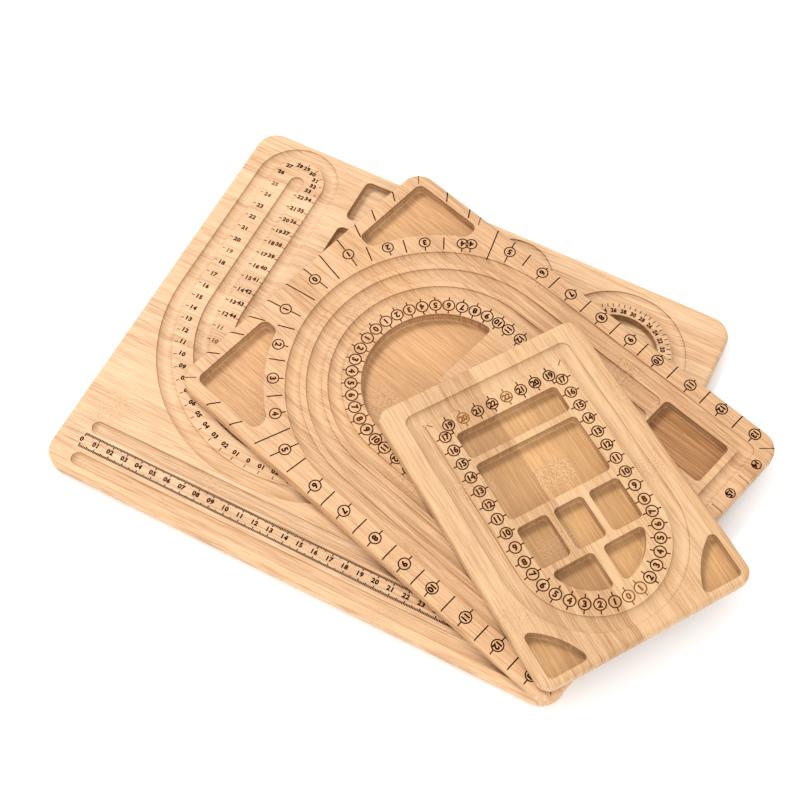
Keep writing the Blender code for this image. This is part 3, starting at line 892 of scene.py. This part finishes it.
def ruler_tick(tone, start, end, width=0.5):
    tone.stroke((start[0] + RULER_X, start[1] + RULER_Y), (end[0] + RULER_X, end[1] + RULER_Y), width)


def ruler(dark):
    """Centimetre ruler with millimetre ticks on both edges, between the two slots."""
    for x in range(301):
        length = 2.4 if x % 10 == 0 else (1.9 if x % 5 == 0 else 1.4)
        ruler_tick(dark, (x, 5.0), (x, 5.0 - length), 0.7)
        ruler_tick(dark, (x, -5.1), (x, -5.1 + length), 0.7)
    for k in range(31):
        ruler_label(dark, k, k * 10.0 - 0.7, 0.2)


def beside_tick(tone, tick_tone, number, x, y, near, far, rise):
    """Number with a level tick beside it, from near to far of the number's centre."""
    ruler_label(tone, number, x, y)
    ruler_tick(tick_tone, (x + near, y + rise), (x + far, y + rise))


def large_necklace(dark, mid, pale):
    """Up the outer side of the left leg, round its head, down the inner side, and round the bend."""
    bend = (U_X - RULER_X, U_Y - RULER_Y)
    head = (22.3, 226.4)
    for k in range(16, 26):
        tone = pale if k in (19, 24, 25) else mid
        beside_tick(tone, tone, k, 9.9, 219.5 - 10.05 * (25 - k), near=-5.5, far=-3.5, rise=0.4)
    for side in (-1, 1):
        for k in range(16):
            if k == 0 and side > 0:
                continue
            angle = -93.05 + side * (5.71 * min(k, 10) + 5.45 * max(k - 10, 0))
            x, y = polar(90.5, angle, *bend)
            ruler_label(dark, k, x, y, 90.0 if k > 5 else angle + 180.0)
            ruler_tick(mid, polar(93.6, angle, *bend), polar(95.9, angle, *bend))
    for number, x, y in ((26, 8.8, 230.0), (27, 11.3, 236.8), (28, 17.5, 240.0), (29, 23.0, 239.8),
                         (30, 28.3, 237.8), (31, 32.6, 234.0), (32, 33.4, 229.1), (33, 32.2, 224.3)):
        ruler_label(dark, number, x, y)
        angle = math.degrees(math.atan2(y - head[1], x - head[0]))
        ruler_tick(dark, polar(15.2, angle, *head), polar(17.4, angle, *head), 0.45)
    for k in range(34, 45):
        down = k - 34
        tone = dark if k in (34, 37, 42, 44) else mid
        beside_tick(tone, mid, k, 35.5 + 0.1 * down, 218.3 - 10.08 * down, near=2.8, far=5.1, rise=-0.9)
    for k in range(10, 23):
        down = 22 - k
        tone, x = (mid, 30.4 + 0.1 * down) if k > 11 else (pale, 55.3 - 1.95 * k)
        beside_tick(tone, mid, k, x, 217.5 - 10.1 * down, near=-5.2, far=-3.0, rise=-0.2)


def large_right_leg(mid):
    """The same scale on the right leg, which the boards above hide."""
    for k in range(12, 26):
        beside_tick(mid, mid, k, 191.7, 219.5 - 10.2 * (25 - k), near=3.5, far=5.5, rise=0.4)
    for k in range(13, 23):
        beside_tick(mid, mid, k, 168.0, 217.5 - 10.1 * (22 - k), near=3.4, far=5.6, rise=0.0)


def bracelet(dark):
    """Numbers and ticks round the upper end of the oval tray."""
    end = (OVAL_X, OVAL_TOP)
    for k in range(-15, 16):
        angle = 90.0 - 6.0 * k
        dark.stroke(polar(33.1, angle, *end), polar(35.6, angle, *end), 0.5)
        if k % 2 == 0:
            x, y = polar(30.4, angle, *end)
            dark.number("%02d" % (30 - abs(k)), x, y, angle, pitch=1.95, stretch=0.9)


def large_scales(tones):
    dark, mid, pale = tones["dark"], tones["middle"], tones["pale"]
    ruler(dark)
    large_necklace(dark, mid, pale)
    large_right_leg(mid)
    bracelet(dark)


def make_scales():
    large_digits, digits = glyph_library(2.85), glyph_library(3.8)
    materials = {"dark": burn("burn_dark", (0.008, 0.001, 0.0, 1), (0.034, 0.007, 0.001, 1)),
                 "middle": burn("burn_middle", (0.020, 0.004, 0.001, 1), (0.080, 0.019, 0.002, 1)),
                 "pale": burn("burn_pale", (0.12, 0.045, 0.014, 1), (0.24, 0.105, 0.036, 1))}
    for board, draw, library in (("large", large_scales, large_digits),
                                 ("middle", middle_scales, digits), ("small", small_scales, digits)):
        tones = {tone: Marks(board, tone, library) for tone in materials}
        draw(tones)
        for tone, marks in tones.items():
            if marks.bm.verts:
                marks.finish(materials[tone])


# ---------------------------------------------------------------- floor, light and camera

def make_floor(height):
    """Wide pale floor, a hair below the boards."""
    bm = bmesh.new()
    bmesh.ops.create_grid(bm, x_segments=1, y_segments=1, size=6.0)
    floor = object_from(bm, "floor")
    floor.location.z = height - 0.2 * MM
    g = Graph("pale_floor")
    tint = g.noise(g.coordinates(), scale=1.5)
    g.put(g.shader.inputs["Base Color"], g.mix(tint, (0.90, 0.90, 0.90, 1), (0.93, 0.93, 0.93, 1)))
    g.shader.inputs["Roughness"].default_value = 0.9
    g.shader.inputs["Specular IOR Level"].default_value = 0.0
    floor.data.materials.append(g.material)


def area_light(lamp):
    """Round soft light turned to the origin."""
    light = bpy.data.lights.new(lamp.name, "AREA")
    light.shape, light.size, light.energy, light.color = "DISK", lamp.size, lamp.power, lamp.colour
    obj = bpy.data.objects.new(lamp.name, light)
    obj.location = lamp.place
    obj.rotation_euler = (-Vector(lamp.place)).to_track_quat("-Z", "Y").to_euler()
    bpy.context.scene.collection.objects.link(obj)


def make_light():
    world = bpy.data.worlds.new("studio")
    world.use_nodes = True
    background = world.node_tree.nodes["Background"]
    background.inputs["Color"].default_value = (1.0, 1.0, 1.0, 1)
    background.inputs["Strength"].default_value = WORLD_STRENGTH
    bpy.context.scene.world = world
    for lamp in LIGHTS:
        area_light(lamp)
    bpy.context.scene.view_settings.view_transform = "Standard"


def make_camera():
    """The photograph's angle: high over the near right of the large board, turned a little."""
    data = bpy.data.cameras.new("camera")
    data.lens, data.sensor_width = CAMERA_LENS, CAMERA_SENSOR
    data.clip_start, data.clip_end = 0.01, 50.0
    camera = bpy.data.objects.new("camera", data)
    bpy.context.scene.collection.objects.link(camera)
    forward = Vector(CAMERA_FORWARD).normalized()
    level = forward.cross(Vector((0, 0, 1))).normalized()
    raised = level.cross(forward)
    roll = math.radians(CAMERA_ROLL)
    right = level * math.cos(roll) + raised * math.sin(roll)
    up = raised * math.cos(roll) - level * math.sin(roll)
    rotation = Matrix((right, up, -forward)).transposed()
    camera.matrix_world = Matrix.Translation(CAMERA_PLACE) @ rotation.to_4x4()
    bpy.context.scene.camera = camera


for old in list(bpy.data.objects):
    bpy.data.objects.remove(old, do_unlink=True)

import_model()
cad_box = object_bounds()
make_camera()
make_staves("large", mill_large)
make_staves("middle", mill_middle)
make_staves("small", mill_small)
make_scales()
make_floor(cad_box[0].z)
make_light()
